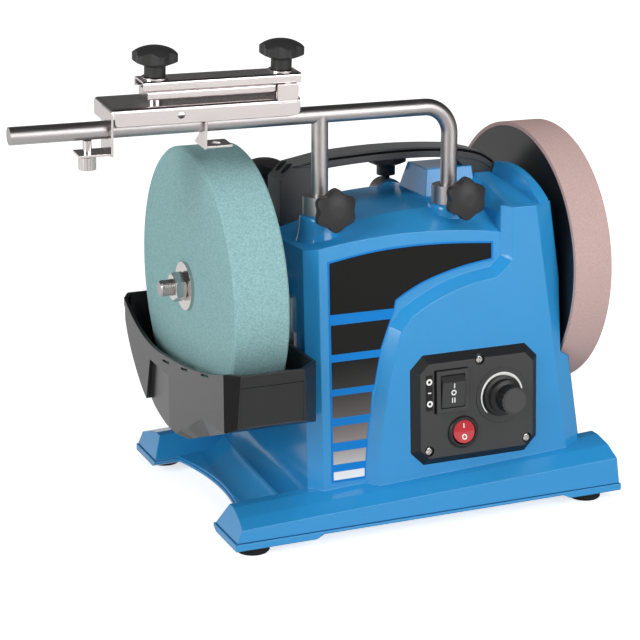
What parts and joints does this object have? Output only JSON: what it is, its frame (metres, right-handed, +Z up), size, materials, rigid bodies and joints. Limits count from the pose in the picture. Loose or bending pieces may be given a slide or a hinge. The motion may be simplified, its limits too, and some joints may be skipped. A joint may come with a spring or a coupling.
{
  "type": "wet sharpening machine",
  "caption": "Bench wet sharpener with a slow water stone, leather honing wheel, height-adjustable support bar with clamping jig, water trough and speed control.",
  "frame": {"origin": "on the floor, in the middle of the four rubber feet", "axes": "+Z up, +X along the shaft from the water stone to the honing wheel, the control panel faces -Y"},
  "size_m": [0.447, 0.237, 0.3479],
  "materials": {
    "blue_shell": "satin blue moulded shell",
    "black_abs": "satin black",
    "trough_plastic": "satin dark grey",
    "foot_rubber": "matt",
    "red_plastic": "gloss translucent red",
    "bright_steel": "satin chrome",
    "screw_steel": "zinc plated",
    "sheet_steel": "bright stainless sheet",
    "shaft_steel": "turned",
    "gear_plastic": "natural nylon",
    "motor_steel": "black enamel",
    "board_resin": "circuit board",
    "stone_grit": "fine grit, matt",
    "wheel_core": "satin black",
    "honing_leather": "smooth leather"
  },
  "bodies": {
    "housing": {"main_housing": "blue_shell", "base_pan": "blue_shell", "rear_cover": "black_abs", "rear_cover_screws": "screw_steel", "rubber_feet": "foot_rubber", "foot_screws": "screw_steel", "cable_gland": "black_abs", "carry_handle": "black_abs", "handle_screws": "screw_steel", "left_bar_sleeve": "bright_steel", "right_bar_sleeve": "bright_steel", "left_rear_sleeve": "bright_steel", "right_rear_sleeve": "bright_steel", "control_panel": "black_abs", "panel_screws": "screw_steel", "direction_switch": "black_abs", "power_switch": "black_abs", "speed_potentiometer": "black_abs", "speed_board": "board_resin", "motor_bracket": "sheet_steel", "motor_gearbox": "motor_steel", "motor_can": "motor_steel", "left_bearing": "shaft_steel", "right_bearing": "shaft_steel", "trough_bracket": "sheet_steel", "trough_bracket_screws": "screw_steel"},
    "spindle": {"main_shaft": "shaft_steel", "bearing_inner_rings": "shaft_steel", "drive_gear": "gear_plastic", "grinding_stone": "stone_grit", "stone_flange": "shaft_steel", "stone_washer": "screw_steel", "stone_nut": "screw_steel", "honing_wheel": "wheel_core", "leather_band": "honing_leather", "honing_flange": "shaft_steel", "honing_washer": "screw_steel", "honing_nut": "screw_steel"},
    "pinion": {"motor_pinion": "shaft_steel"},
    "support": {"support_bar": "bright_steel"},
    "jig": {"jig_base": "sheet_steel", "jig_stop": "sheet_steel", "jig_lower_jaw": "sheet_steel"},
    "jig_clamp": {"jig_upper_jaw": "sheet_steel", "jig_washers": "screw_steel"},
    "jig_knob_l": {"left_jig_knob": "black_abs"},
    "jig_knob_r": {"right_jig_knob": "black_abs"},
    "jig_lock": {"jig_lock_screw": "screw_steel"},
    "clamp_knob_l": {"left_clamp_knob": "black_abs"},
    "clamp_knob_r": {"right_clamp_knob": "black_abs"},
    "rear_knob_l": {"left_rear_knob": "black_abs"},
    "rear_knob_r": {"right_rear_knob": "black_abs"},
    "rocker": {"direction_rocker": "black_abs"},
    "power": {"power_rocker": "red_plastic"},
    "speed": {"speed_knob": "black_abs"},
    "trough": {"water_trough": "trough_plastic", "trough_studs": "bright_steel"}
  },
  "joints": [
    {"name": "spindle_spin", "type": "hinge", "parent": "housing", "child": "spindle", "pos_m": [0, 0, 0.168], "axis": [1, 0, 0], "continuous": true},
    {"name": "pinion_spin", "type": "hinge", "parent": "housing", "child": "pinion", "pos_m": [0, 0, 0.114], "axis": [1, 0, 0], "continuous": true},
    {"name": "support_height", "type": "slide", "parent": "housing", "child": "support", "axis": [0, 0, 1], "range_m": [-0.015, 0.06]},
    {"name": "jig_slide", "type": "slide", "parent": "support", "child": "jig", "axis": [1, 0, 0], "range_m": [-0.044, 0.058]},
    {"name": "jig_jaw_lift", "type": "slide", "parent": "jig", "child": "jig_clamp", "axis": [0, -0.0958, 0.9954], "range_m": [0, 0.006]},
    {"name": "left_jig_knob_turn", "type": "hinge", "parent": "jig_clamp", "child": "jig_knob_l", "pos_m": [-0.181, -0.05046, 0.33012], "axis": [0, -0.0958, 0.9954], "range_deg": [-180, 180]},
    {"name": "right_jig_knob_turn", "type": "hinge", "parent": "jig_clamp", "child": "jig_knob_r", "pos_m": [-0.091, -0.05046, 0.33012], "axis": [0, -0.0958, 0.9954], "range_deg": [-180, 180]},
    {"name": "jig_lock_turn", "type": "hinge", "parent": "jig", "child": "jig_lock", "pos_m": [-0.2285, -0.04866, 0.28006], "axis": [0, -0.0958, 0.9954], "range_deg": [-180, 180]},
    {"name": "left_clamp_turn", "type": "hinge", "parent": "housing", "child": "clamp_knob_l", "pos_m": [-0.0624, -0.07, 0.2316], "axis": [0, -1, 0], "range_deg": [-180, 180]},
    {"name": "right_clamp_turn", "type": "hinge", "parent": "housing", "child": "clamp_knob_r", "pos_m": [0.038, -0.07, 0.2316], "axis": [0, -1, 0], "range_deg": [-180, 180]},
    {"name": "left_rear_clamp_turn", "type": "hinge", "parent": "housing", "child": "rear_knob_l", "pos_m": [-0.0624, 0.0565, 0.23], "axis": [0, 0, 1], "range_deg": [-180, 180]},
    {"name": "right_rear_clamp_turn", "type": "hinge", "parent": "housing", "child": "rear_knob_r", "pos_m": [0.038, 0.0565, 0.23], "axis": [0, 0, 1], "range_deg": [-180, 180]},
    {"name": "direction_tilt", "type": "hinge", "parent": "housing", "child": "rocker", "pos_m": [0.0205, -0.09532, 0.09686], "axis": [1, 0, 0], "range_deg": [-11, 11]},
    {"name": "power_tilt", "type": "hinge", "parent": "housing", "child": "power", "pos_m": [0.0288, -0.09649, 0.06553], "axis": [1, 0, 0], "range_deg": [0, 16]},
    {"name": "speed_turn", "type": "hinge", "parent": "housing", "child": "speed", "pos_m": [0.0603, -0.10023, 0.0892], "axis": [0, -0.9986, 0.0531], "range_deg": [0, 280]},
    {"name": "trough_height", "type": "slide", "parent": "housing", "child": "trough", "axis": [0, 0, 1], "range_m": [-0.022, 0]}
  ],
  "couplings": [
    {"joint": "pinion_spin", "follows": "spindle_spin", "ratio": -3}
  ]
}
